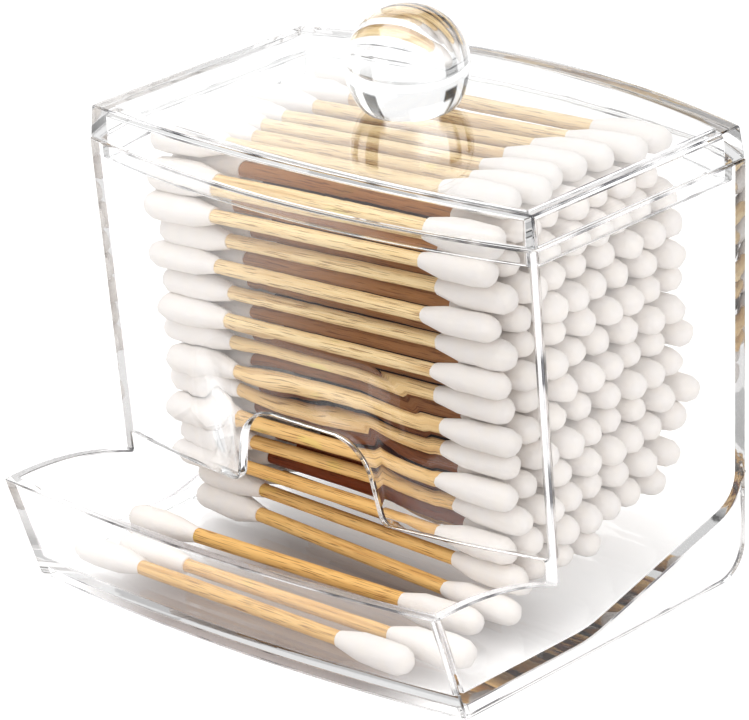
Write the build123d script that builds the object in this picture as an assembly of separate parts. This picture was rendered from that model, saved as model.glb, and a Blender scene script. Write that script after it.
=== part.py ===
from build123d import *

import os
from math import cos, pi, radians, sin, sqrt, tan

# Clear moulded holder for cotton swabs, with a lift-off lid and a ball knob.
# Millimetres. X runs along the width, the tray points to -Y, and Z is up.
# The origin is on the ground, under the middle of the whole object's box.

# Bin
rim_height = 70.3
rim_width = 97.5
rim_depth = 50.0
front_bow = 5.9
back_bow = 6.2
side_draft = 0.76
front_draft = 1.45
back_draft = 2.6
wall = 2.0
heel_radius = 6.0

# Floor, from the tray up the ramp to the back wall
floor_thick = 2.0
floor_height = 4.1
ramp_start = 15.5
ramp_angle = 14.6
ramp_bend = 24.0
back_curve = 6.0

# Tray
tray_base_reach = 45.4
tray_tip_reach = 51.1
tray_bow = 3.1
tray_tip_height = 19.0
tray_foot_height = 14.8
tray_side_crown = 1.5

# Gap under the front wall, with its finger notch
gap_height = 18.4
notch_foot_width = 31.6
notch_top_width = 26.0
notch_height = 32.2
notch_corner = 8.0
notch_lip = 2.0

# Lid, with a top that is crowned along the width
lid_height = 5.5
lid_crown = 1.25
lid_step = 0.16
lid_flare = 0.5
lid_plate = 1.8
skirt_drop = 3.4
skirt_thick = 1.4
skirt_clearance = 0.35

# Knob, a clear ball with a flat bonded to the lid
knob_radius = 10.15
knob_rise = 6.9
knob_back = 0.4

# Cotton swabs
swab_length = 76.0
stick_radius = 1.25
tip_length = 14.5
tip_radius = 2.35
tip_nose_radius = 1.4
tip_nose_length = 3.0
tip_tail_radius = 1.45
swab_sides = 6
swab_clearance = 0.3

# The stack in the bin: level at its foot, and higher at its right end further up
row_pitch = 4.58
row_offset_shares = (0.0, 0.27, 0.02, 0.32, 0.0, 0.29, 0.05, 0.31)
column_pitch = 5.65
stack_front_gap = 1.3
lowest_tilt = 0.0
highest_tilt = 2.6
low_row_turns = (-5.0, -3.2, -1.2)
turn_stray = 0.4
end_stray = 0.9
row_stray = 0.12
stray_turns = (137, 71)
stray_steps = (0, 40, 160)

# The two loose layers on top: each right end lies in a hollow, and the left ends are free
layer_names = ("lower_layer", "upper_layer")
layer_tilts = (2.1, 1.4)
layer_turns = ((0.5, 1.1, 0.4, -0.4, 0.4, 1.0, 0.2), (2.0, 2.7, 3.4, 4.1, 3.3, 2.6, 0.8))
layer_shift_shares = ((0.0, 0.06, -0.15, 0.04, -0.1, 0.05, 0.0), (-0.1, 0.1, -0.3, -0.3, -0.2, 0.1, 0.1))

# The swabs that have slid out into the tray, from its front wall inwards
tray_swab_gaps = (0.9, 0.6, 3.9)
tray_swab_shift_shares = (-0.2, 0.5, -0.36)
tray_swab_turns = (-1.6, -0.3, 0.9)

# Cutters run this far past what they cut
overrun = 5.0

# The object's box in Y sets where its middle is
front_reach = tray_tip_reach + tray_bow
back_reach = rim_depth / 2 + back_bow
middle = Pos(0, (front_reach - back_reach) / 2, 0)

ramp_rise = tan(radians(ramp_angle))


def half_width(z):
    """Outer half width of the holder at a height."""
    return rim_width / 2 - (rim_height - z) * tan(radians(side_draft))


def front_corner(z):
    """Y of the bin's front corners at a height."""
    return -rim_depth / 2 + (rim_height - z) * tan(radians(front_draft))


def back_corner(z):
    """Y of the bin's back corners at a height."""
    return rim_depth / 2 - (rim_height - z) * tan(radians(back_draft))


def tray_corner(z):
    """Y of the tray's front corners at a height."""
    return -tray_base_reach - (tray_tip_reach - tray_base_reach) * z / tray_tip_height


def narrowed(bow, half, inset):
    """Bow that is left between the corners of an outline drawn in by inset."""
    return bow * (1 - inset / half) ** 2


def plan(z, half, front, front_out, back, back_out, inset=0.0):
    """Outline at a height: straight sides, front and back bowed outwards."""
    front_left = narrowed(front_out, half, inset)
    back_left = narrowed(back_out, half, inset)
    low = front - (front_out - front_left) + inset
    high = back + (back_out - back_left) - inset
    side = half - inset
    outline = ThreePointArc((-side, low), (0, low - front_left), (side, low))
    outline += Line((side, low), (side, high))
    outline += ThreePointArc((side, high), (0, high + back_left), (-side, high))
    outline += Line((-side, high), (-side, low))
    return Plane.XY.offset(z) * make_face(outline)


def bin_plan(z, inset=0.0):
    return plan(z, half_width(z), front_corner(z), front_bow, back_corner(z), back_bow, inset)


def tray_plan(z, inset=0.0):
    """The tray's outline, which runs back into the bin, further where it is drawn in."""
    return plan(z, half_width(z), tray_corner(z), tray_bow, 2 * inset, wall, inset)


def between(section, low, high, inset=0.0):
    """Solid between two heights of a drafted outline."""
    return loft([section(low, inset), section(high, inset)], ruled=True)


def across(face):
    """A face in the YZ plane carried over more than the whole width."""
    return extrude(face, amount=rim_width, both=True)


def side_slab(inset):
    """Everything between the two drafted side faces, drawn in by inset."""
    low, high = -overrun, rim_height + overrun
    outline = Polyline(
        (-half_width(low) + inset, low),
        (half_width(low) - inset, low),
        (half_width(high) - inset, high),
        (-half_width(high) + inset, high),
        close=True,
    )
    reach = front_reach + back_reach
    return extrude(Plane.XZ * make_face(outline), amount=reach, both=True)


def above_floor(height, bend):
    """The space over a floor that is level under the tray and then climbs."""
    start = -ramp_start
    far = back_reach + overrun
    near = -front_reach - overrun
    top = rim_height + lid_height + lid_crown
    outline = Polyline(
        (near, height),
        (start, height),
        (far, height + (far - start) * ramp_rise),
        (far, top),
        (near, top),
        close=True,
    )
    face = Plane.YZ * make_face(outline)
    corner = face.vertices().sort_by_distance((0, start, height))[0]
    return across(fillet(corner, bend))


def back_edge(solid):
    """The edge where the climbing floor meets the bowed back wall."""
    floor = solid.faces().filter_by(lambda f: abs(f.normal_at().Z) > cos(radians(2 * ramp_angle)))
    ramp = floor.sort_by(Axis.Z)[:-1].sort_by(Axis.Y)[-1]
    return ramp.edges().sort_by(Axis.Y)[-1]


def make_holder():
    """Bin, ramp and tray, moulded in one piece and open underneath."""
    tray_top = tray_tip_height + overrun
    under = floor_height - floor_thick

    # Seen from the side, the tray's top edge curves from the bin's foot to the tip.
    foot = (front_corner(tray_foot_height), tray_foot_height)
    tip = (tray_corner(tray_tip_height), tray_tip_height)
    crown = ((foot[0] + tip[0]) / 2, (foot[1] + tip[1]) / 2 + tray_side_crown)
    tray_side = ThreePointArc(foot, crown, tip)
    tray_side += Polyline(
        tip, (-front_reach - overrun, tray_tip_height), (-front_reach - overrun, 0), (0, 0), (0, foot[1]), foot
    )
    tray_limit = across(Plane.YZ * make_face(tray_side))

    # The outer body, from the underside of the floor up.
    bin_body = between(bin_plan, 0, rim_height) & above_floor(under, ramp_bend + floor_thick)
    bin_body = fillet(back_edge(bin_body), back_curve + floor_thick)
    tray_body = between(tray_plan, 0, tray_top) & tray_limit
    body = bin_body + (tray_body & above_floor(under, ramp_bend + floor_thick))

    # The side panels reach down to the ground and are rounded at the heel.
    panel = ThreePointArc(foot, crown, tip)
    panel += Polyline(
        tip,
        (tray_corner(0), 0),
        (back_corner(0), 0),
        (back_corner(rim_height), rim_height),
        (front_corner(rim_height), rim_height),
        foot,
    )
    panel = Plane.YZ * make_face(panel)
    heel = panel.vertices().sort_by_distance((0, back_corner(0), 0))[0]
    panels = across(fillet(heel, heel_radius)) & (side_slab(0) - side_slab(wall))

    # The tray's front wall stands on the ground too.
    front_skirt = between(tray_plan, 0, floor_height) - between(tray_plan, 0, floor_height, wall)
    holder = body + panels + front_skirt

    # The room inside: the bin, the tray in front of it, and the way between them.
    over_floor = above_floor(floor_height, ramp_bend)
    bin_room = between(bin_plan, 0, rim_height + overrun, wall) & over_floor
    bin_room = fillet(back_edge(bin_room), back_curve)
    tray_room = between(tray_plan, 0, tray_top, wall) & over_floor
    tray_room -= between(bin_plan, 0, tray_top)
    opening = front_opening() & over_floor & side_slab(wall)
    return holder - bin_room - tray_room - opening


def front_opening():
    """Cutter for the gap under the front wall and the finger notch over it."""
    gap = Pos(0, gap_height / 2) * Rectangle(rim_width, gap_height)
    notch_foot, notch_top = notch_foot_width / 2, notch_top_width / 2
    notch = make_face(Polyline(
        (-notch_foot, 0),
        (-notch_foot, gap_height),
        (-notch_top, notch_height),
        (notch_top, notch_height),
        (notch_foot, gap_height),
        (notch_foot, 0),
        close=True,
    ))
    top = [v for v in notch.vertices() if v.Y > gap_height + notch_lip]
    shape = gap + fillet(top, notch_corner)
    lips = [v for v in shape.vertices() if abs(v.Y - gap_height) < notch_lip and abs(v.X) < notch_foot_width]
    shape = fillet(lips, notch_lip)
    wall_back = -front_corner(0) - front_bow - wall
    wall_front = rim_depth / 2 + front_bow + overrun
    cutter = extrude(Plane.XZ.offset(wall_back) * shape, amount=wall_front - wall_back)
    return cutter


def crown_limit(height):
    """Everything under an arched surface that is highest over the middle of the width."""
    half = rim_width / 2
    outline = ThreePointArc((-half, height), (0, height + lid_crown), (half, height))
    outline += Polyline((half, height), (half, -overrun), (-half, -overrun), (-half, height))
    return extrude(Plane.XZ * make_face(outline), amount=front_reach + back_reach, both=True)


def make_lid():
    """Cap that sits on the bin's rim, with a skirt that drops inside it."""
    lid_top = rim_height + lid_height
    skirt_foot = rim_height - skirt_drop

    def lid_plan(z, inset):
        draw_in = lid_step + lid_flare * (z - rim_height) / lid_height
        half = rim_width / 2
        return plan(z, half, -rim_depth / 2, front_bow, rim_depth / 2, back_bow, draw_in + inset)

    cap = between(lid_plan, rim_height, lid_top + lid_crown)
    skirt_inset = wall + skirt_clearance
    skirt = between(bin_plan, skirt_foot, rim_height + lid_plate, skirt_inset)
    hollow = between(bin_plan, skirt_foot - overrun, lid_top, skirt_inset + skirt_thick)
    return (cap & crown_limit(lid_top)) + skirt - (hollow & crown_limit(lid_top - lid_plate))


def make_knob():
    """Solid ball, cut flat where it is bonded to the lid's crown."""
    seat = rim_height + lid_height + lid_crown
    ball = Pos(0, knob_back, seat + knob_rise) * Sphere(knob_radius)
    return split(ball, Plane.XY.offset(seat), keep=Keep.TOP)


def make_stick():
    """Bamboo stick along X, between the two cotton tips."""
    section = Plane.YZ * RegularPolygon(stick_radius, swab_sides)
    return extrude(section, amount=swab_length / 2 - tip_length, both=True)


def make_tip():
    """Cotton tip on the +X end: a blunt nose, then a taper down to the stick."""
    end = swab_length / 2
    places = (end, end - tip_nose_length, end - tip_length)
    radii = (tip_nose_radius, tip_radius, tip_tail_radius)
    turns = [2 * pi * side / swab_sides for side in range(swab_sides)]
    return ConvexPolyhedron([(x, r * cos(turn), r * sin(turn)) for x, r in zip(places, radii) for turn in turns])


def lowest_end(z, tilt):
    """Height of the middle of a tilted swab's lower end."""
    return z - swab_length / 2 * sin(radians(tilt))


def front_room(z, inset):
    """Y of the front wall's inner face at a swab's end, drawn in by inset."""
    bow = front_bow * (1 - (swab_length / rim_width) ** 2)
    return front_corner(z) - bow + inset


def back_room(y, z):
    """Distance from a swab's middle to the back wall, at the swab's end."""
    bow = back_bow * (1 - (swab_length / rim_width) ** 2)
    return back_corner(z) + bow - wall - y


def ramp_room(y, z):
    """Height of a swab's middle square to the floor."""
    floor = floor_height + max(0, y + ramp_start) * ramp_rise
    return (z - floor) * cos(radians(ramp_angle))


def fits(y, z):
    """True where a swab clears the floor, the back wall and the curve between them."""
    need = tip_radius + swab_clearance
    behind, below = back_room(y, z), ramp_room(y, z)
    if behind < need or below < need * cos(radians(ramp_angle)):
        return False
    if behind < back_curve and below < back_curve:
        return sqrt((back_curve - behind) ** 2 + (back_curve - below) ** 2) < back_curve - need
    return True


def row_height(row):
    """Height of a row's middle: the lower end of the first row is just over the floor."""
    rise = swab_length / 2 * sin(radians(lowest_tilt))
    return floor_height + tip_radius + swab_clearance + row_stray + rise + row * row_pitch


def stack_rows():
    """Rows of the stack that leave room for the loose layers under the lid."""
    ceiling = rim_height + lid_height - lid_plate + lid_crown * (1 - (swab_length / rim_width) ** 2)
    rise = swab_length / 2 * sin(radians(layer_tilts[-1]))
    return int((ceiling - tip_radius - rise - row_height(0)) / row_pitch) + 1 - len(layer_names)


def row_slots(row):
    """Y of the slots in one row, which are set back by turns so that the rows bed into each other."""
    offset = row_offset_shares[row % len(row_offset_shares)] * column_pitch
    first = front_room(row_height(row), wall + stack_front_gap + tip_radius) + offset
    return [first + column * column_pitch for column in range(int((back_reach - first) / column_pitch) + 1)]


def stray(amount, row, column, step):
    """A small uneven shift that differs from swab to swab."""
    return amount * sin(radians(stray_turns[0] * row + stray_turns[1] * column + step))


def stack_places(row):
    """Places of the swabs in one row, which leans more the higher it lies."""
    tilt = lowest_tilt + (highest_tilt - lowest_tilt) * row / stack_rows()
    places = []
    for column, slot in enumerate(row_slots(row)):
        x, y, z = [stray(row_stray, row, column, step) for step in stray_steps]
        x *= end_stray / row_stray
        y += slot
        z += row_height(row)
        turn = low_row_turns[row] if row < len(low_row_turns) else stray(turn_stray, row, column, stray_steps[0])
        lean = swab_length / 2 * abs(sin(radians(turn)))
        if fits(y + lean, lowest_end(z, tilt)):
            places.append(Pos(x, y, z) * Rot(0, 0, turn) * Rot(0, -tilt, 0))
    return places


def layer_places(layer):
    """Places in a loose layer inside the lid's skirt, each turned about its right end."""
    row = stack_rows() + layer
    z, tilt = row_height(row), layer_tilts[layer]
    inset = wall + skirt_clearance + skirt_thick
    end_room = rim_width / 2 - inset - swab_length / 2
    need = swab_clearance + tip_radius
    near = front_room(z, inset + need)
    slots = [y for y in row_slots(row) if y > near and back_room(y, z) + wall > inset + need]
    places = []
    for slot, share, turn in zip(slots, layer_shift_shares[layer], layer_turns[layer]):
        lean = swab_length / 2 * sin(radians(turn))
        if slot - 2 * lean > near:
            places.append(Pos(share * end_room, slot - lean, z) * Rot(0, 0, turn) * Rot(0, -tilt, 0))
    return places


def tray_places():
    """Places of the swabs that lie in the tray, each behind the one before."""
    z = floor_height + tip_radius + swab_clearance
    end_room = half_width(z) - wall - swab_length / 2
    y = tray_corner(z) + wall - tray_bow * (1 - (swab_length / rim_width) ** 2) - tip_radius
    places = []
    for gap, share, turn in zip(tray_swab_gaps, tray_swab_shift_shares, tray_swab_turns):
        y += 2 * tip_radius + gap
        places.append(Pos(share * end_room, y, z) * Rot(0, 0, turn))
    return places


def save(name, solids):
    """Write one sub-part, moved so that the object's middle is over the origin."""
    moved = [middle * solid for solid in solids]
    export_step(moved[0] if len(moved) == 1 else Compound(moved), "parts/" + name + ".step")


def save_swabs(name, places):
    """Write the sticks of some swabs as one node and their cotton tips as another."""
    stick, tip = make_stick(), make_tip()
    save(name + ("_sticks" if len(places) > 1 else "_stick"), [place * stick for place in places])
    turned = Rot(0, 0, 180) * tip
    save(name + "_tips", [place * end for place in places for end in (tip, turned)])


os.makedirs("parts", exist_ok=True)
save("holder", [make_holder()])
save("lid", [make_lid()])
save("knob", [make_knob()])
for row in range(stack_rows()):
    save_swabs("row_%02d" % (row + 1), stack_places(row))
for layer, name in enumerate(layer_names):
    save_swabs(name, layer_places(layer))
for index, place in enumerate(tray_places()):
    save_swabs("tray_swab_%d" % (index + 1), [place])
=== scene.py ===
import math

import bmesh
import bpy
from bpy.props import FloatProperty, FloatVectorProperty, IntProperty, PointerProperty
from mathutils import Matrix, Vector


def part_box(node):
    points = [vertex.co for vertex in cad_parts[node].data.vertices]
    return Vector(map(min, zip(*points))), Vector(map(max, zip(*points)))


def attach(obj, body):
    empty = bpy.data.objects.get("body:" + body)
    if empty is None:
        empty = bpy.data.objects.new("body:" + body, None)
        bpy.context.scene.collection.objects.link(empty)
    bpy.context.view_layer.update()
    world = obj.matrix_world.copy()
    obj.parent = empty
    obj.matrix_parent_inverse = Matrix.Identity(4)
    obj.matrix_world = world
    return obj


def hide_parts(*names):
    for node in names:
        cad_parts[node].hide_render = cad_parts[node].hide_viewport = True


# Clear lidded holder, filled with bamboo cotton swabs.
# Metres. X runs along the width, the tray points to -Y, and Z is up.

bl_info = {
    "name": "Swab Holder",
    "version": (1, 0, 0),
    "blender": (4, 5, 0),
    "location": "View3D > Sidebar > Swab Holder",
    "description": "Makes a clear swab holder with its lid, knob and swabs, and a pale studio for it",
    "category": "Object",
}

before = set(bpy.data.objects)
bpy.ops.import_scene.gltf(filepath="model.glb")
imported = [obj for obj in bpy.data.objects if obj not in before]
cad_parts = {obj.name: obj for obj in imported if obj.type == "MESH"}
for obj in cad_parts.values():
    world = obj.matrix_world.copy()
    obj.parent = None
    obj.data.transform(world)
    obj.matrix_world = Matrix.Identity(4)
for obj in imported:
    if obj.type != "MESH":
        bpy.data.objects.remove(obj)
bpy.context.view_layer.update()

MILLIMETRE = 0.001
CONTACT_GAP = 0.06 * MILLIMETRE
MERGE_DISTANCE = 0.001 * MILLIMETRE
FLAT_ANGLE = math.radians(0.3)
SHARP_ANGLE = math.radians(25.0)
BEVEL_ANGLE = math.radians(30.0)
BEVEL_SEGMENTS = 2
WHITE = (1.0, 1.0, 1.0, 1.0)


def paint(code):
    """Linear colour from a web colour code."""
    levels = [int(code[start:start + 2], 16) / 255 for start in (0, 2, 4)]
    return [level / 12.92 if level <= 0.04045 else ((level + 0.055) / 1.055) ** 2.4 for level in levels]


def grey(level):
    """Opaque grey of one linear level."""
    return (level, level, level, 1.0)


# Sizes and colours


def length(name, description, default):
    """A size in metres."""
    return FloatProperty(name=name, description=description, default=default, min=0.0, unit="LENGTH")


def colour(name, description, default):
    """A linear colour."""
    return FloatVectorProperty(name=name, description=description, default=default, subtype="COLOR")


def angle(name, description, degrees):
    """An angle, given in degrees and held in radians."""
    return FloatProperty(name=name, description=description, default=math.radians(degrees), unit="ROTATION")


def share(name, description, default):
    """A share between 0 and 1."""
    return FloatProperty(name=name, description=description, default=default, min=0.0, max=1.0)


def power(name, description, default):
    """A lamp's power in watts."""
    return FloatProperty(name=name, description=description, default=default, min=0.0, unit="POWER")


class PlasticSettings(bpy.types.PropertyGroup):
    tint: colour("Tint", "Colour of the clear plastic", (0.985, 0.99, 0.992))
    painted_edge_shade_dark: colour("Edge Dark", "Rounded edges, darkest", (0.03, 0.03, 0.035))
    painted_edge_shade_pale: colour("Edge Pale", "Rounded edges, palest", (0.8, 0.8, 0.81))
    refraction: FloatProperty(
        name="Refraction", description="Index of refraction", default=1.49, min=1.0, max=2.0
    )
    shade: share("Shade", "Share of a lamp's light that one face lets through", 0.95)
    trapped: share("Trapped", "Share of the light that leaves after many turns in a wall", 0.8)
    edge_radius: length("Edge Radius", "Rounding of the moulded edges", 0.0003)
    wave_height: length("Wave Height", "Height of the moulding waves", 0.000012)
    flow_height: length("Flow Height", "Height of the folds round the notch", 0.004)
    notch_half_width: length("Notch Half Width", "Half the notch's width", 0.013)
    notch_top: length("Notch Top", "Height of the notch's upper edge", 0.032)


class SwabSettings(bpy.types.PropertyGroup):
    swab_length: length("Swab Length", "From nose to nose", 0.076)
    stick_radius: length("Stick Radius", "Half the stick's thickness", 0.00125)
    tip_length: length("Tip Length", "Length of the cotton", 0.0152)
    tip_radius: length("Tip Radius", "Radius of the cotton at its widest", 0.00252)
    fluff: length("Fluff", "How far the cotton's surface is uneven", 0.0008)
    bamboo_pale: colour("Bamboo Pale", "Palest bamboo", paint("F6DDAC"))
    bamboo_tan: colour("Bamboo Tan", "Common bamboo", paint("ECCB92"))
    bamboo_dark: colour("Bamboo Dark", "Darkest bamboo grain", paint("B98647"))
    cotton: colour("Cotton", "Colour of the cotton", paint("F5EEE7"))
    seed: IntProperty(name="Seed", description="Picks each swab's tone, turn and girth", default=7)


class StudioSettings(bpy.types.PropertyGroup):
    azimuth: angle("Azimuth", "Camera's turn about the object", 44.7772)
    elevation: angle("Elevation", "Camera's height angle", 21.5066)
    roll: angle("Roll", "Camera's right side turned down", 4.0021)
    distance: length("Distance", "From the camera to the aim", 0.78373)
    aim: FloatVectorProperty(
        name="Aim",
        description="Point on the view axis",
        subtype="TRANSLATION",
        default=(-0.004485, 0.004277, 0.035005),
    )
    lens: FloatProperty(name="Lens", description="Focal length in mm for a 36 mm sensor", default=231.777)
    floor_size: length("Floor Size", "Width of the floor", 6.0)
    ambient: FloatProperty(name="Ambient", description="Soft light from all around", default=0.8, min=0.0)
    key_power: power("Key Power", "Lamp over the object", 1.9)
    side_power: power("Side Power", "Lamps beside the camera", 1.7)


class HolderSettings(bpy.types.PropertyGroup):
    plastic: PointerProperty(type=PlasticSettings)
    swabs: PointerProperty(type=SwabSettings)
    studio: PointerProperty(type=StudioSettings)


# Node helpers


class Nodes:
    """Adds nodes to one tree."""

    def __init__(self, tree):
        self.tree = tree

    def add(self, kind, settings=None, inputs=None):
        """A node of a type: its settings are set first, then its sockets are set or linked."""
        node = self.tree.nodes.new(kind)
        for name, value in (settings or {}).items():
            if name == "curve":
                set_curve(node.mapping, value)
            else:
                setattr(node, name, value)
        for name, value in (inputs or {}).items():
            self.fill(node.inputs[name], value)
        return node

    def fill(self, socket, value):
        """Link a signal to a socket, or set a plain value on it."""
        if isinstance(value, Signal):
            self.tree.links.new(value.socket, socket)
        else:
            socket.default_value = value

    def fill_by_identifier(self, node, values):
        """Fill sockets that share their name with others of the node."""
        for identifier, value in values.items():
            self.fill(next(socket for socket in node.inputs if socket.identifier == identifier), value)

    def output(self, node, name):
        """An output of a node, ready for arithmetic."""
        return Signal(self, node.outputs[name])

    def get(self, kind, settings=None, inputs=None, output=0):
        """One output of a new node, ready for arithmetic."""
        return self.output(self.add(kind, settings, inputs), output)


def set_curve(mapping, points):
    """Points of a curve as (in, out) pairs."""
    curve = mapping.curves[0]
    while len(curve.points) < len(points):
        curve.points.new(0.5, 0.5)
    for point, place in zip(curve.points, points):
        point.location = place
    mapping.update()


class Signal:
    """A socket whose value takes part in Python's arithmetic, which adds the Math nodes."""

    def __init__(self, nodes, socket):
        self.nodes = nodes
        self.socket = socket

    def combine(self, operation, first, second):
        return self.nodes.get("ShaderNodeMath", {"operation": operation}, {0: first, 1: second})

    def __add__(self, other):
        return self.combine("ADD", self, other)

    def __radd__(self, other):
        return self.combine("ADD", other, self)

    def __sub__(self, other):
        return self.combine("SUBTRACT", self, other)

    def __rsub__(self, other):
        return self.combine("SUBTRACT", other, self)

    def __mul__(self, other):
        return self.combine("MULTIPLY", self, other)

    def __rmul__(self, other):
        return self.combine("MULTIPLY", other, self)

    def __truediv__(self, other):
        return self.combine("DIVIDE", self, other)

    def __rtruediv__(self, other):
        return self.combine("DIVIDE", other, self)

    def __pow__(self, other):
        return self.combine("POWER", self, other)

    def __rpow__(self, other):
        return self.combine("POWER", other, self)

    def at_most(self, other):
        return self.combine("MINIMUM", self, other)

    def at_least(self, other):
        return self.combine("MAXIMUM", self, other)

    def above(self, other):
        return self.combine("GREATER_THAN", self, other)

    def wave(self, count):
        """Cosine of the value times count."""
        return self.combine("COSINE", self * count, 0.0)

    def ramp(self, low, high):
        """0 at low and under, 1 at high and over, smooth between."""
        settings = {"interpolation_type": "SMOOTHSTEP"}
        inputs = {"Value": self, "From Min": low, "From Max": high}
        return self.nodes.get("ShaderNodeMapRange", settings, inputs)

    def window(self, rise_start, rise_end, fall_start, fall_end):
        """1 between two smooth steps and 0 outside them."""
        return self.ramp(rise_start, rise_end) * (1.0 - self.ramp(fall_start, fall_end))


def new_material(name):
    """An empty node material and its Nodes."""
    material = bpy.data.materials.new(name)
    material.use_nodes = True
    material.node_tree.nodes.clear()
    return material, Nodes(material.node_tree)


def finish_material(nodes, shader):
    nodes.add("ShaderNodeOutputMaterial", inputs={"Surface": shader})


def object_place(nodes):
    """Object coordinates."""
    return nodes.get("ShaderNodeTexCoord", output="Object")


def axes_of(nodes, vector, names="XYZ"):
    """The named axes of a vector."""
    parts = nodes.add("ShaderNodeSeparateXYZ", inputs={0: vector})
    return [nodes.output(parts, axis) for axis in names]


def stretch(nodes, vector, factors):
    """A vector times a factor for each axis."""
    return nodes.get("ShaderNodeVectorMath", {"operation": "MULTIPLY"}, {0: vector, 1: factors})


def noise(nodes, vector, scale, detail=2.0, roughness=0.5):
    """Noise around 0.5, with features about 1 / scale metres across."""
    inputs = {"Vector": vector, "Scale": scale, "Detail": detail, "Roughness": roughness}
    return nodes.get("ShaderNodeTexNoise", inputs=inputs)


def mix_colours(nodes, factor, first, second, blend="MIX"):
    """Two colours mixed by a factor. A plain colour is given without its alpha."""
    node = nodes.add("ShaderNodeMix", {"data_type": "RGBA", "blend_type": blend})
    colours = [value if isinstance(value, Signal) else (*value, 1.0) for value in (first, second)]
    nodes.fill_by_identifier(node, {"Factor_Float": factor, "A_Color": colours[0], "B_Color": colours[1]})
    return Signal(nodes, next(socket for socket in node.outputs if socket.identifier == "Result_Color"))


def glow(nodes, strength):
    """White light of a strength."""
    return nodes.get("ShaderNodeEmission", inputs={"Color": WHITE, "Strength": strength})


def mix_shaders(nodes, factor, first, second):
    return nodes.get("ShaderNodeMixShader", inputs={0: factor, 1: first, 2: second})


# Clear plastic: scales of the moulding waves, and the share of the fine ones
WAVE_SCALE = 60.0
FINE_WAVE_SCALE = 210.0
FINE_WAVE_SHARE = 0.3
# Folds in the front wall: their scale, how far from the notch they fade, and where that wall is
FOLD_SCALE = 75.0
FOLD_STRETCH = (0.6, 0.6, 1.0)
FOLD_FADE = (0.003, 0.014)
FRONT_WALL_Y = (-0.031, -0.027, -0.004, -0.002)
FRONT_WALL_FOOT_Z = (0.016, 0.02)
# Painted shade along the rounded edges: pale and dark streaks in their tone, in place of the edges' dark
# reflections
STREAK_SCALE = 90.0
STREAK_STEP = (0.36, 0.52)
# A ray that has turned more often than this inside the plastic is let out
MOST_TURNS = 2.5


def clear_plastic(name, settings, folded=False, edges=False):
    """Polished clear plastic with faint moulding waves, with folds round the notch or with painted streaks of
    shade on its edges.
    """
    material, nodes = new_material(name)
    place = object_place(nodes)
    waves = noise(nodes, place, WAVE_SCALE, 1.0) + FINE_WAVE_SHARE * noise(nodes, place, FINE_WAVE_SCALE, 1.0)
    if folded:
        waves = waves + notch_folds(nodes, place, settings)
    bump = nodes.get(
        "ShaderNodeBump", inputs={"Height": waves, "Strength": 1.0, "Distance": settings.wave_height}
    )
    tone = (*settings.tint, 1.0)
    if edges:
        # Painted shade: the edges' tone is streaked dark and pale
        streaks = noise(nodes, place, STREAK_SCALE).ramp(*STREAK_STEP)
        tone = mix_colours(nodes, streaks, settings.painted_edge_shade_dark, settings.painted_edge_shade_pale)
    plastic = nodes.get("ShaderNodeBsdfPrincipled", inputs={
        "Base Color": tone,
        "Roughness": 0.0,
        "IOR": settings.refraction,
        "Transmission Weight": 1.0,
        "Normal": bump,
    })
    path = nodes.add("ShaderNodeLightPath")
    lamps = nodes.output(path, "Is Shadow Ray").at_least(nodes.output(path, "Is Diffuse Ray"))
    turned = nodes.output(path, "Glossy Depth").above(MOST_TURNS)
    freed = nodes.get("ShaderNodeBsdfTransparent", inputs={"Color": grey(settings.trapped)})
    lit = nodes.get("ShaderNodeBsdfTransparent", inputs={"Color": grey(settings.shade)})
    finish_material(nodes, mix_shaders(nodes, lamps, mix_shaders(nodes, turned, plastic, freed), lit))
    return material


def notch_folds(nodes, place, settings):
    """Height of the folds in the front wall, in wave heights, which fade away from the notch's edge."""
    x, y, z = axes_of(nodes, place)
    beside = (x.at_least(0.0 - x) - settings.notch_half_width).at_least(0.0)
    over = (z - settings.notch_top).at_least(0.0)
    away = (beside * beside + over * over) ** 0.5
    wall = y.window(*FRONT_WALL_Y) * z.ramp(*FRONT_WALL_FOOT_Z)
    folds = noise(nodes, stretch(nodes, place, FOLD_STRETCH), FOLD_SCALE, 0.0)
    return folds * (settings.flow_height / settings.wave_height) * ((1.0 - away.ramp(*FOLD_FADE)) * wall)


# Bamboo: how the grain and the flecks are drawn out along a stick, and the tone's shift of both
GRAIN_STRETCH = (0.035, 1.0, 1.0)
FLECK_STRETCH = (0.4, 1.0, 1.0)
TONE_SHIFT = (3.0, 0.7)
FIBRE_SCALE = 3200.0
BAND_SCALE = 900.0
THREAD_SCALE = 5200.0
FLECK_SCALE = 260.0
FLECK_COLOUR = paint("E9DE8A")
THREAD_COLOUR = paint("8A5A2A")
# Sticks near the ground look more yellow
LOW_Z = (0.014, 0.045)
LOW_TINT = paint("F0C868")
# Painted shade for the sticks that have a swab outside them, for those that have two, and for the low ones
# that have one
ONE_LAYER_PAINTED_SHADE = paint("C29A7A")
TWO_LAYER_PAINTED_SHADE = paint("503634")
LOW_STICK_PAINTED_SHADE = paint("B87C44")
BAMBOO_BUMP = 0.0001


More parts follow.
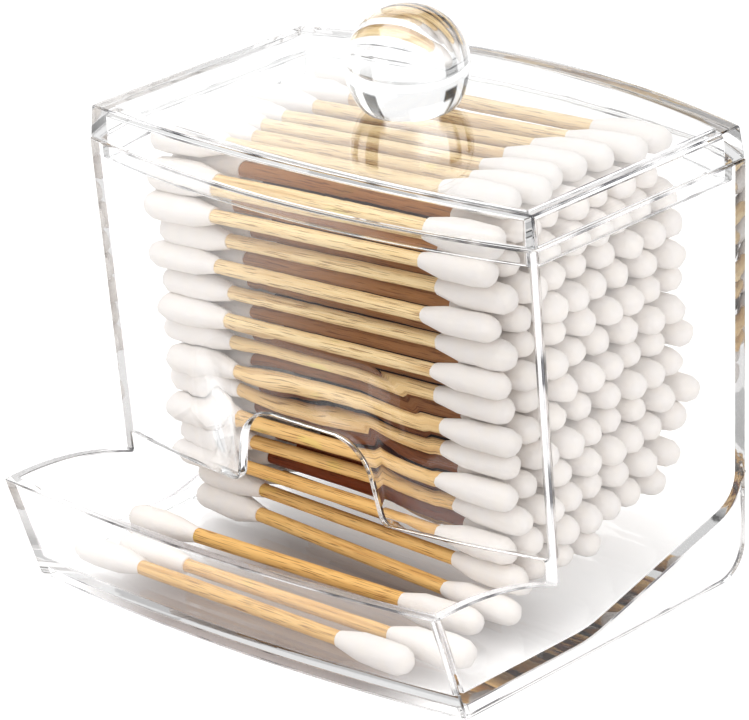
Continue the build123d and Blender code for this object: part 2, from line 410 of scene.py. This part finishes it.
def bamboo(settings):
    """Split bamboo: fine lengthwise grain, a tone for each stick, a few pale yellow flecks, and painted shade
    on the sticks that lie deep in the stack.
    """
    material, nodes = new_material("bamboo")
    grain = nodes.get("ShaderNodeAttribute", {"attribute_name": "grain"}, output="Vector")
    tone = nodes.get("ShaderNodeAttribute", {"attribute_name": "tone"}, output="Fac")
    depth = nodes.get("ShaderNodeAttribute", {"attribute_name": "depth"}, output="Fac")
    shift = nodes.get("ShaderNodeCombineXYZ", inputs={"X": tone * TONE_SHIFT[0], "Y": tone * TONE_SHIFT[1]})
    along, wide = [
        nodes.get("ShaderNodeVectorMath", {"operation": "ADD"}, {0: stretch(nodes, grain, factors), 1: shift})
        for factors in (GRAIN_STRETCH, FLECK_STRETCH)
    ]
    fibres = noise(nodes, along, FIBRE_SCALE, 3.0, 0.6)
    bands = noise(nodes, along, BAND_SCALE)
    flecks = noise(nodes, wide, FLECK_SCALE, 1.0).ramp(0.68, 0.76)
    threads = noise(nodes, along, THREAD_SCALE, 1.0).ramp(0.56, 0.68)
    height, = axes_of(nodes, object_place(nodes), "Z")
    low = 1.0 - height.ramp(*LOW_Z)
    layers = (
        (fibres.ramp(0.35, 0.7), settings.bamboo_tan, "MIX"),
        (bands.ramp(0.5, 0.7) * 0.5, settings.bamboo_dark, "MIX"),
        (tone.ramp(0.3, 1.0) * 0.5, settings.bamboo_tan, "MIX"),
        (flecks * 0.5, FLECK_COLOUR, "MIX"),
        (threads * 0.7, THREAD_COLOUR, "MIX"),
        (low * 0.6, LOW_TINT, "MULTIPLY"),
        # Painted shade: sticks darken by how many swabs lie between them and the outside of the stack
        (depth.ramp(0.0, 1.0), ONE_LAYER_PAINTED_SHADE, "MULTIPLY"),
        (depth.ramp(1.0, 2.0), TWO_LAYER_PAINTED_SHADE, "MULTIPLY"),
        (low * depth.ramp(0.0, 1.0) * 0.9, LOW_STICK_PAINTED_SHADE, "MULTIPLY"),
    )
    wood_colour = settings.bamboo_pale
    for mask, other, blend in layers:
        wood_colour = mix_colours(nodes, mask, wood_colour, other, blend)
    relief = fibres * 0.6 + bands * 0.4
    bump = nodes.get("ShaderNodeBump", inputs={"Height": relief, "Strength": 0.6, "Distance": BAMBOO_BUMP})
    wood = nodes.get("ShaderNodeBsdfPrincipled", inputs={
        "Base Color": wood_colour,
        "Roughness": 0.5 + fibres * 0.2,
        "Specular IOR Level": 0.35,
        "Normal": bump,
    })
    finish_material(nodes, wood)
    return material


# Cotton: scales of its lumps and loose fibres, and the tone of its lumps
LUMP_SCALE = 500.0
LOOSE_FIBRE_SCALE = 5200.0
LUMP_COLOUR = paint("F1ECEA")
COTTON_BUMP = 0.0005


def cotton(settings):
    """Wound cotton: matte, soft at its outline, with loose fibres and shallow lumps."""
    material, nodes = new_material("cotton")
    place = object_place(nodes)
    lumps = noise(nodes, place, LUMP_SCALE)
    fibres = noise(nodes, place, LOOSE_FIBRE_SCALE, 3.0, 0.65)
    wool_colour = mix_colours(nodes, lumps.ramp(0.3, 0.7) * 0.6, settings.cotton, LUMP_COLOUR)
    relief = lumps * 0.5 + fibres * 0.35
    bump = nodes.get("ShaderNodeBump", inputs={"Height": relief, "Strength": 0.8, "Distance": COTTON_BUMP})
    wool = nodes.get("ShaderNodeBsdfPrincipled", inputs={
        "Base Color": wool_colour,
        "Roughness": 0.85 + fibres * 0.15,
        "Specular IOR Level": 0.15,
        "Sheen Weight": 0.25,
        "Sheen Roughness": 0.6,
        "Normal": bump,
    })
    finish_material(nodes, wool)
    return material


# Mesh helpers


def merged_copy(node):
    """The CAD node's mesh with its triangles joined and its flat faces made whole."""
    mesh = bmesh.new()
    mesh.from_mesh(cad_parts[node].data)
    bmesh.ops.remove_doubles(mesh, verts=mesh.verts, dist=MERGE_DISTANCE)
    bmesh.ops.dissolve_limit(
        mesh, angle_limit=FLAT_ANGLE, verts=mesh.verts, edges=mesh.edges, use_dissolve_boundaries=False
    )
    return mesh


def lift_level(mesh, level):
    """Raise the vertices at a level a little, so that two clear pieces never share a face."""
    for vert in mesh.verts:
        if abs(vert.co.z - level) < CONTACT_GAP:
            vert.co.z = level + CONTACT_GAP


def add_piece(name, mesh, material, body, nodes):
    """A finished piece from a mesh: it rides on its body and stands for its CAD nodes."""
    piece = bpy.data.objects.new(name, mesh)
    bpy.context.scene.collection.objects.link(piece)
    piece.data.materials.clear()
    piece.data.materials.append(material)
    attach(piece, body)
    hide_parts(*nodes)
    return piece


def moulded_piece(name, shape, body, node, settings, folded=False, edged=True):
    """A clear piece with true normals on its large faces. Edged rounds its edges and gives them painted
    streaks of shade.
    """
    mesh = bpy.data.meshes.new(name)
    shape.to_mesh(mesh)
    shape.free()
    mesh.shade_smooth()
    mesh.set_sharp_from_angle(angle=SHARP_ANGLE)
    piece = add_piece(name, mesh, clear_plastic(name, settings, folded), body, [node])
    if edged:
        bevel = piece.modifiers.new("edges", "BEVEL")
        bevel.width = settings.edge_radius
        bevel.segments = BEVEL_SEGMENTS
        bevel.limit_method = "ANGLE"
        bevel.angle_limit = BEVEL_ANGLE
        bevel.miter_outer = "MITER_ARC"
        bevel.use_clamp_overlap = False
        piece.data.materials.append(clear_plastic(name + "_edges", settings, edges=True))
        bevel.material = 1
    normals = piece.modifiers.new("normals", "WEIGHTED_NORMAL")
    normals.keep_sharp = True
    return piece


# Places of the swabs


def stick_nodes():
    return sorted(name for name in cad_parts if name.endswith(("_stick", "_sticks")))


def tip_nodes():
    return sorted(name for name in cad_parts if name.endswith("_tips"))


def middle_of(points):
    """Mean of some points, by sums that don't depend on the points' order."""
    return Vector([math.fsum(axis) / len(points) for axis in zip(*points)])


def separate_solids(mesh):
    """Points of each separate solid in a mesh."""
    solids = []
    waiting = set(mesh.verts)
    while waiting:
        points, border = [], [waiting.pop()]
        while border:
            vert = border.pop()
            points.append(vert.co.copy())
            near = {edge.other_vert(vert) for edge in vert.link_edges} & waiting
            waiting -= near
            border.extend(near)
        solids.append(points)
    return solids


def swab_places():
    """Middle and direction of each swab, from the sticks in the frame, left end to right end."""
    places = []
    for name in stick_nodes():
        mesh = bmesh.new()
        mesh.from_mesh(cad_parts[name].data)
        bmesh.ops.remove_doubles(mesh, verts=mesh.verts, dist=MERGE_DISTANCE)
        for points in separate_solids(mesh):
            middle = middle_of(points)
            right = middle_of([point for point in points if point.x > middle.x])
            places.append((middle, (right - middle).normalized()))
        mesh.free()
    return sorted(places, key=lambda place: (place[0].z, place[0].y))


def layers_over(place, others, reach):
    """Number of swabs on the way out of the stack, by the shortest of four ways."""
    ways = {"front": 0, "back": 0, "over": 0, "under": 0}
    for other in others:
        step = other - place
        if abs(step.z) < reach and abs(step.y) > reach / 2:
            ways["back" if step.y > 0 else "front"] += 1
        if abs(step.y) < reach and abs(step.z) > reach / 2:
            ways["over" if step.z > 0 else "under"] += 1
    return min(ways.values())


def points_object(name, places, reach):
    """Vertices with a turn and a depth in the stack each, for the node trees to put copies on."""
    mesh = bpy.data.meshes.new(name)
    mesh.from_pydata([place for place, along in places], [], [])
    turns = mesh.attributes.new("turn", "FLOAT_VECTOR", "POINT")
    for item, (place, along) in zip(turns.data, places):
        item.vector = (0.0, -math.asin(along.z), math.atan2(along.y, along.x))
    # The second attribute is made once the first is filled, because making it moves the first one's data.
    depths = mesh.attributes.new("depth", "FLOAT", "POINT")
    # The depth feeds the bamboo's painted shade on the sticks deep in the stack
    middles = [place for place, along in places]
    for item, place in zip(depths.data, middles):
        near = [other for other in middles if abs(other.x - place.x) < 4 * reach]
        item.value = layers_over(place, near, reach)
    carrier = bpy.data.objects.new(name, mesh)
    bpy.context.scene.collection.objects.link(carrier)
    return carrier


# Node trees for the swabs: how much girths differ, and faces round and along each shape
GIRTH_RANGE = (0.92, 1.02)
STICK_SIDES = 12
STICK_RINGS = 6
STICK_UNEVENNESS = 0.00018
STICK_UNEVEN_SCALE = 160.0
TIP_SIDES = 12
TIP_RINGS = 8
TIP_UNEVEN_SCALE = 520.0
NOSE_MERGE = 0.00002
# Rings lie closer together at the nose by this power
NOSE_POWER = 2.4
# Cotton tip from its nose to the stick: share of its length, and share of its radius
TIP_PROFILE_SHARES = (
    (0.0, 0.0), (0.012, 0.38), (0.035, 0.64), (0.08, 0.86), (0.13, 0.96), (0.2, 1.0), (0.55, 1.0),
    (0.74, 0.92), (0.9, 0.76), (1.0, 0.56),
)


def new_geometry_tree(name, sizes):
    """A geometry tree with named inputs, its Nodes, and signals for the inputs."""
    tree = bpy.data.node_groups.new(name, "GeometryNodeTree")
    tree.interface.new_socket("Geometry", in_out="INPUT", socket_type="NodeSocketGeometry")
    for label, kind in sizes.items():
        tree.interface.new_socket(label, in_out="INPUT", socket_type=kind)
    tree.interface.new_socket("Geometry", in_out="OUTPUT", socket_type="NodeSocketGeometry")
    nodes = Nodes(tree)
    group = nodes.add("NodeGroupInput")
    return tree, nodes, {socket.name: Signal(nodes, socket) for socket in group.outputs if socket.name}


def random_value(nodes, low, high, index, seed):
    """A number between low and high for each point."""
    node = nodes.add("FunctionNodeRandomValue", {"data_type": "FLOAT"})
    nodes.fill_by_identifier(node, {"Min_001": low, "Max_001": high, "ID": index, "Seed": seed})
    return Signal(nodes, next(socket for socket in node.outputs if socket.identifier == "Value_001"))


def store(nodes, geometry, name, kind, value):
    """The geometry with a value kept on its points under a name."""
    settings = {"data_type": kind, "domain": "POINT"}
    inputs = {"Geometry": geometry, "Name": name, "Value": value}
    return nodes.get("GeometryNodeStoreNamedAttribute", settings, inputs)


def recall(nodes, name, kind):
    """A value that was kept under a name."""
    settings = {"data_type": kind}
    return nodes.get("GeometryNodeInputNamedAttribute", settings, {"Name": name}, output="Attribute")


def put_on_points(nodes, group, shape, material, unevenness, scale):
    """Copies of shape on the points: turned, given a tone and girth, made real, made uneven and finished."""
    index = nodes.get("GeometryNodeInputIndex")
    roll = random_value(nodes, 0.0, 2 * math.pi, index, group["Seed"])
    tone = random_value(nodes, 0.0, 1.0, index, group["Seed"] + 1)
    girth = random_value(nodes, *GIRTH_RANGE, index, group["Seed"] + 2)
    pitch, yaw = axes_of(nodes, recall(nodes, "turn", "FLOAT_VECTOR"), "YZ")
    turn = nodes.get("ShaderNodeCombineXYZ", inputs={"X": roll, "Y": pitch, "Z": yaw})
    points = nodes.get("GeometryNodeMeshToPoints", inputs={"Mesh": group["Geometry"]})
    copies = nodes.get("GeometryNodeInstanceOnPoints", inputs={
        "Points": store(nodes, points, "tone", "FLOAT", tone),
        "Instance": shape,
        "Rotation": nodes.get("FunctionNodeEulerToRotation", inputs={0: turn}),
        "Scale": nodes.get("ShaderNodeCombineXYZ", inputs={"X": 1.0, "Y": girth, "Z": girth}),
    })
    real = nodes.get("GeometryNodeRealizeInstances", inputs={"Geometry": copies})
    place = nodes.get("GeometryNodeInputPosition")
    lumps = nodes.get("ShaderNodeTexNoise", inputs={"Vector": place, "Scale": scale, "Detail": 2.0})
    offset = nodes.get("ShaderNodeVectorMath", {"operation": "SCALE"}, {
        0: nodes.get("GeometryNodeInputNormal"),
        "Scale": (lumps - 0.5) * unevenness,
    })
    moved = nodes.get("GeometryNodeSetPosition", inputs={"Geometry": real, "Offset": offset})
    moved = nodes.get("GeometryNodeSetShadeSmooth", inputs={"Geometry": moved})
    done = nodes.get("GeometryNodeSetMaterial", inputs={"Geometry": moved, "Material": material})
    nodes.add("NodeGroupOutput", inputs={"Geometry": done})


def straight_line(nodes, start, end, rings):
    """A line along X in equal steps."""
    ends = {
        "Start": nodes.get("ShaderNodeCombineXYZ", inputs={"X": start}),
        "End": nodes.get("ShaderNodeCombineXYZ", inputs={"X": end}),
    }
    line = nodes.get("GeometryNodeCurvePrimitiveLine", inputs=ends)
    return nodes.get("GeometryNodeResampleCurve", inputs={"Curve": line, "Count": rings})


def circle(nodes, sides, radius):
    return nodes.get("GeometryNodeCurvePrimitiveCircle", inputs={"Resolution": sides, "Radius": radius})


def stick_tree(material):
    """Round sticks on the points, with the grain's own coordinates."""
    sizes = {"Length": "NodeSocketFloat", "Radius": "NodeSocketFloat", "Seed": "NodeSocketInt"}
    tree, nodes, group = new_geometry_tree("bamboo_sticks", sizes)
    stick = nodes.get("GeometryNodeCurveToMesh", inputs={
        "Curve": straight_line(nodes, group["Length"] / -2, group["Length"] / 2, STICK_RINGS),
        "Profile Curve": circle(nodes, STICK_SIDES, group["Radius"]),
        "Fill Caps": True,
    })
    stick = store(nodes, stick, "grain", "FLOAT_VECTOR", nodes.get("GeometryNodeInputPosition"))
    put_on_points(nodes, group, stick, material, STICK_UNEVENNESS, STICK_UNEVEN_SCALE)
    return tree


def tip_tree(material):
    """Cotton tips on the points: a swept line whose radius follows the tip's profile."""
    sizes = {
        "Length": "NodeSocketFloat",
        "Radius": "NodeSocketFloat",
        "Fluff": "NodeSocketFloat",
        "Seed": "NodeSocketInt",
    }
    tree, nodes, group = new_geometry_tree("cotton_tips", sizes)
    line = straight_line(nodes, 0.0, group["Length"], TIP_RINGS)
    part = nodes.get("GeometryNodeSplineParameter", output="Factor") ** NOSE_POWER
    width = nodes.get("ShaderNodeFloatCurve", {"curve": TIP_PROFILE_SHARES}, {"Value": part})
    line = store(nodes, line, "width", "FLOAT", width)
    place = nodes.get("ShaderNodeCombineXYZ", inputs={"X": part * group["Length"]})
    line = nodes.get("GeometryNodeSetPosition", inputs={"Geometry": line, "Position": place})
    tip = nodes.get("GeometryNodeCurveToMesh", inputs={
        "Curve": line,
        "Profile Curve": circle(nodes, TIP_SIDES, group["Radius"]),
        "Scale": recall(nodes, "width", "FLOAT"),
        "Fill Caps": True,
    })
    tip = nodes.get("GeometryNodeMergeByDistance", inputs={"Geometry": tip, "Distance": NOSE_MERGE})
    put_on_points(nodes, group, tip, material, group["Fluff"], TIP_UNEVEN_SCALE)
    return tree


def applied_tree(carrier, tree, values):
    """The tree's result as a plain mesh. Inputs are set by identifier before anything is evaluated."""
    modifier = carrier.modifiers.new(tree.name, "NODES")
    modifier.node_group = tree
    for item in tree.interface.items_tree:
        if item.in_out == "INPUT" and item.name in values:
            modifier[item.identifier] = values[item.name]
    evaluated = carrier.evaluated_get(bpy.context.evaluated_depsgraph_get())
    mesh = bpy.data.meshes.new_from_object(evaluated)
    bpy.data.objects.remove(carrier)
    return mesh


# Operators


class HolderOperator(bpy.types.Operator):
    """Make the bin with its tray"""
    bl_idname = "swab_holder.make_holder"
    bl_label = "Make Holder"

    def execute(self, context):
        settings = context.scene.swab_holder.plastic
        moulded_piece("clear_holder", merged_copy("holder"), "holder", "holder", settings, folded=True)
        return {"FINISHED"}


class LidOperator(bpy.types.Operator):
    """Make the lid, which rests on the bin's rim"""
    bl_idname = "swab_holder.make_lid"
    bl_label = "Make Lid"

    def execute(self, context):
        shape = merged_copy("lid")
        lift_level(shape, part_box("holder")[1][2])
        moulded_piece("clear_lid", shape, "lid", "lid", context.scene.swab_holder.plastic)
        return {"FINISHED"}


class KnobOperator(bpy.types.Operator):
    """Make the ball knob, which stands on the lid"""
    bl_idname = "swab_holder.make_knob"
    bl_label = "Make Knob"

    def execute(self, context):
        shape = merged_copy("knob")
        lift_level(shape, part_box("knob")[0][2])
        moulded_piece("clear_knob", shape, "lid", "knob", context.scene.swab_holder.plastic, edged=False)
        return {"FINISHED"}


class SticksOperator(bpy.types.Operator):
    """Make the bamboo sticks of all the swabs"""
    bl_idname = "swab_holder.make_sticks"
    bl_label = "Make Sticks"

    def execute(self, context):
        swabs = context.scene.swab_holder.swabs
        material = bamboo(swabs)
        values = {
            "Length": swabs.swab_length - swabs.tip_length,
            "Radius": swabs.stick_radius,
            "Seed": swabs.seed,
        }
        carrier = points_object("bamboo_sticks", swab_places(), swabs.tip_radius)
        mesh = applied_tree(carrier, stick_tree(material), values)
        add_piece("bamboo_sticks", mesh, material, "holder", stick_nodes())
        return {"FINISHED"}


class TipsOperator(bpy.types.Operator):
    """Make the cotton tips of all the swabs"""
    bl_idname = "swab_holder.make_tips"
    bl_label = "Make Tips"

    def execute(self, context):
        swabs = context.scene.swab_holder.swabs
        material = cotton(swabs)
        noses = []
        for middle, along in swab_places():
            for direction in (along, -along):
                noses.append((middle + direction * swabs.swab_length / 2, -direction))
        values = {
            "Length": swabs.tip_length,
            "Radius": swabs.tip_radius,
            "Fluff": swabs.fluff,
            "Seed": swabs.seed,
        }
        carrier = points_object("cotton_tips", noses, swabs.tip_radius)
        mesh = applied_tree(carrier, tip_tree(material), values)
        add_piece("cotton_tips", mesh, material, "holder", tip_nodes())
        return {"FINISHED"}


# Lamps: where each one is, how wide, and where all of them point
KEY_PLACE = (-0.1, -0.1, 0.63)
KEY_SIZE = 0.45
RIGHT_PLACE = (0.65, -0.2, 0.36)
FRONT_PLACE = (-0.15, -0.75, 0.34)
SIDE_SIZE = 0.4
FRONT_SHARE = 0.4
LAMP_AIM = (0.0, 0.0, 0.04)


class StudioOperator(bpy.types.Operator):
    """Make the pale floor, the soft light and the camera"""
    bl_idname = "swab_holder.make_studio"
    bl_label = "Make Studio"

    def execute(self, context):
        studio = context.scene.swab_holder.studio
        context.scene.view_settings.view_transform = "Standard"
        make_floor(studio)
        make_world(studio)
        make_lamp("key", KEY_PLACE, KEY_SIZE, studio.key_power)
        make_lamp("right", RIGHT_PLACE, SIDE_SIZE, studio.side_power)
        make_lamp("front", FRONT_PLACE, SIDE_SIZE, studio.side_power * FRONT_SHARE)
        make_camera(studio)
        return {"FINISHED"}


# Floor, as the camera sees it: its grey, and a glow that brings it to white
FLOOR_GREY = 0.45
FLOOR_GLOW = 0.66
# Floor for all other rays: its colour, and a glow that grows with the distance
FLOOR_COLOUR = (0.86, 0.845, 0.84)
SHEEN_NEAR = 0.36
SHEEN_GAIN = 0.2
SHEEN_FADE = (0.12, 0.5)
# Dark card in front of the tray, in mirrored rays only
CARD_COLOUR = (0.12, 0.11, 0.11)
CARD_Y = (-0.085, -0.055)
CARD_X = (-0.13, -0.05)
# Glossy Depth of a ray that has been mirrored at least once lies above this
MIRRORED_DEPTH = 0.5
# Painted shadow: a grey patch on the floor under the tray and the front of the stack, which all but camera
# rays see
PAINTED_SHADOW_COLOUR = (0.3, 0.25, 0.245)
PAINTED_SHADOW_SHARE = 0.7
PAINTED_SHADOW_X = (-0.044, -0.016, 0.02, 0.046)
PAINTED_SHADOW_Y = (-0.05, -0.041, -0.01, 0.012)


def make_floor(studio):
    """A pale floor that reads white to the camera and still takes soft shadows, with a painted shadow under
    the tray.
    """
    half = studio.floor_size / 2
    corners = [(-half, -half, 0), (half, -half, 0), (half, half, 0), (-half, half, 0)]
    mesh = bpy.data.meshes.new("floor")
    mesh.from_pydata(corners, [], [(0, 1, 2, 3)])
    floor = bpy.data.objects.new("floor", mesh)
    bpy.context.scene.collection.objects.link(floor)
    material, nodes = new_material("floor")
    matte = nodes.get("ShaderNodeBsdfDiffuse", inputs={"Color": grey(FLOOR_GREY)})
    shown = nodes.get("ShaderNodeAddShader", inputs={0: matte, 1: glow(nodes, FLOOR_GLOW)})
    place = object_place(nodes)
    x, y = axes_of(nodes, place, "XY")
    path = nodes.add("ShaderNodeLightPath")
    mirrored = nodes.output(path, "Is Glossy Ray").at_least(nodes.output(path, "Is Transmission Ray"))
    shown_card = mirrored * nodes.output(path, "Glossy Depth").above(MIRRORED_DEPTH)
    card = (1.0 - y.ramp(*CARD_Y)) * x.ramp(*CARD_X) * shown_card
    # Painted shadow under the tray, left out of the camera's own view of the floor
    painted_shadow = x.window(*PAINTED_SHADOW_X) * y.window(*PAINTED_SHADOW_Y)
    tone = mix_colours(nodes, card, FLOOR_COLOUR, CARD_COLOUR)
    tone = mix_colours(nodes, painted_shadow * PAINTED_SHADOW_SHARE, tone, PAINTED_SHADOW_COLOUR)
    pale = nodes.get("ShaderNodeBsdfDiffuse", inputs={"Color": tone})
    away = nodes.get("ShaderNodeVectorMath", {"operation": "LENGTH"}, {0: place}, output="Value")
    sheen = (SHEEN_NEAR + SHEEN_GAIN * away.ramp(*SHEEN_FADE)) * mirrored * (1.0 - card) * (1.0 - painted_shadow)
    pale = nodes.get("ShaderNodeAddShader", inputs={0: pale, 1: glow(nodes, sheen)})
    finish_material(nodes, mix_shaders(nodes, nodes.output(path, "Is Camera Ray"), pale, shown))
    mesh.materials.append(material)


# World in mirrored and refracted rays. Z is a direction's height, and turns are in radians.
# The cosine of the turn times this number is low at each of four panels. On its way up and down again it
# passes each of eight dark cards.
PANEL_COUNT = 4.0
DARK_CARD_SIDES = (0.1, 0.25, 0.86, 0.95)
DARK_CARD_FOOT_Z = (0.03, 0.08)
DARK_CARD_SHARE = 0.94
PANEL_SIDES = (-0.3, 0.1)
PANEL_TOP_Z = (0.8, 0.86)
OVERHEAD_Z = (0.38, 0.55)
OVERHEAD_SHARE = 0.8
# Two soft boxes behind the object: the low one whitens the lid, the high one the knob
LOW_BOX_TURN = (2.3, 2.5, 2.9, 3.0)
LOW_BOX_Z = (0.2, 0.28, 0.5, 0.58)
LOW_BOX_STRENGTH = 1.1
HIGH_BOX_TURN = (1.9, 2.0, 2.7, 2.8)
HIGH_BOX_Z = (0.54, 0.6, 0.76, 0.82)
HIGH_BOX_STRENGTH = 2.0


def make_world(studio):
    """White to the camera. Mirrors see it white too, with dark cards, a dim top and two soft boxes."""
    world = bpy.data.worlds.new("studio")
    world.use_nodes = True
    world.node_tree.nodes.clear()
    nodes = Nodes(world.node_tree)
    bpy.context.scene.world = world
    x, y, z = axes_of(nodes, nodes.get("ShaderNodeTexCoord", output="Generated"))
    turn = x.combine("ARCTAN2", y, x)
    sides = turn.wave(PANEL_COUNT)
    panels = (1.0 - sides.ramp(*PANEL_SIDES)) * (1.0 - z.ramp(*PANEL_TOP_Z))
    overhead = z.ramp(*OVERHEAD_Z) * (1.0 - panels)
    cards = sides.window(*DARK_CARD_SIDES) * z.ramp(*DARK_CARD_FOOT_Z)
    low_box = turn.window(*LOW_BOX_TURN) * z.window(*LOW_BOX_Z)
    high_box = turn.window(*HIGH_BOX_TURN) * z.window(*HIGH_BOX_Z)
    dark = (overhead * OVERHEAD_SHARE).at_least(cards * DARK_CARD_SHARE)
    seen = 1.0 - dark + low_box * LOW_BOX_STRENGTH + high_box * HIGH_BOX_STRENGTH
    path = nodes.add("ShaderNodeLightPath")
    camera, glossy, through = [
        nodes.output(path, name) for name in ("Is Camera Ray", "Is Glossy Ray", "Is Transmission Ray")
    ]
    mirrored = (glossy + through).at_most(1.0) * (1.0 - camera)
    strength = camera + mirrored * seen + (1.0 - camera) * (1.0 - mirrored) * studio.ambient
    sky = nodes.get("ShaderNodeBackground", inputs={"Color": WHITE, "Strength": strength})
    nodes.add("ShaderNodeOutputWorld", inputs={"Surface": sky})


def make_lamp(name, place, size, power):
    """A square soft lamp at a place, turned to the object."""
    light = bpy.data.lights.new(name, "AREA")
    light.size = size
    light.energy = power
    lamp = bpy.data.objects.new(name, light)
    way = Vector(LAMP_AIM) - Vector(place)
    lamp.matrix_world = Matrix.Translation(place) @ way.to_track_quat("-Z", "Y").to_matrix().to_4x4()
    bpy.context.scene.collection.objects.link(lamp)


CAMERA_SENSOR = 36.0
CAMERA_CLIP = 0.01


def make_camera(studio):
    """The camera at the photograph's angle."""
    azimuth, elevation, roll = studio.azimuth, studio.elevation, studio.roll
    back = Vector((
        math.sin(azimuth) * math.cos(elevation),
        -math.cos(azimuth) * math.cos(elevation),
        math.sin(elevation),
    ))
    level = Vector((math.cos(azimuth), math.sin(azimuth), 0.0))
    upright = back.cross(level)
    right = level * math.cos(roll) - upright * math.sin(roll)
    up = upright * math.cos(roll) + level * math.sin(roll)
    data = bpy.data.cameras.new("camera")
    data.lens = studio.lens
    data.sensor_width = CAMERA_SENSOR
    data.clip_start = CAMERA_CLIP
    camera = bpy.data.objects.new("camera", data)
    turn = Matrix((right, up, back)).transposed().to_4x4()
    camera.matrix_world = Matrix.Translation(Vector(studio.aim) + back * studio.distance) @ turn
    bpy.context.scene.collection.objects.link(camera)
    bpy.context.scene.camera = camera


# The panel, and the run


class HolderPanel(bpy.types.Panel):
    """Lists the steps that make the holder"""
    bl_idname = "VIEW3D_PT_swab_holder"
    bl_label = "Swab Holder"
    bl_space_type = "VIEW_3D"
    bl_region_type = "UI"
    bl_category = "Swab Holder"

    def draw(self, context):
        for operator in OPERATORS:
            self.layout.operator(operator.bl_idname)


OPERATORS = (HolderOperator, LidOperator, KnobOperator, SticksOperator, TipsOperator, StudioOperator)
CLASSES = (PlasticSettings, SwabSettings, StudioSettings, HolderSettings, *OPERATORS, HolderPanel)


def register():
    for item in CLASSES:
        bpy.utils.register_class(item)
    bpy.types.Scene.swab_holder = PointerProperty(type=HolderSettings)


def unregister():
    del bpy.types.Scene.swab_holder
    for item in reversed(CLASSES):
        bpy.utils.unregister_class(item)


def main():
    register()
    for operator in OPERATORS:
        group, step = operator.bl_idname.split(".")
        getattr(getattr(bpy.ops, group), step)()


if __name__ == "__main__":
    main()
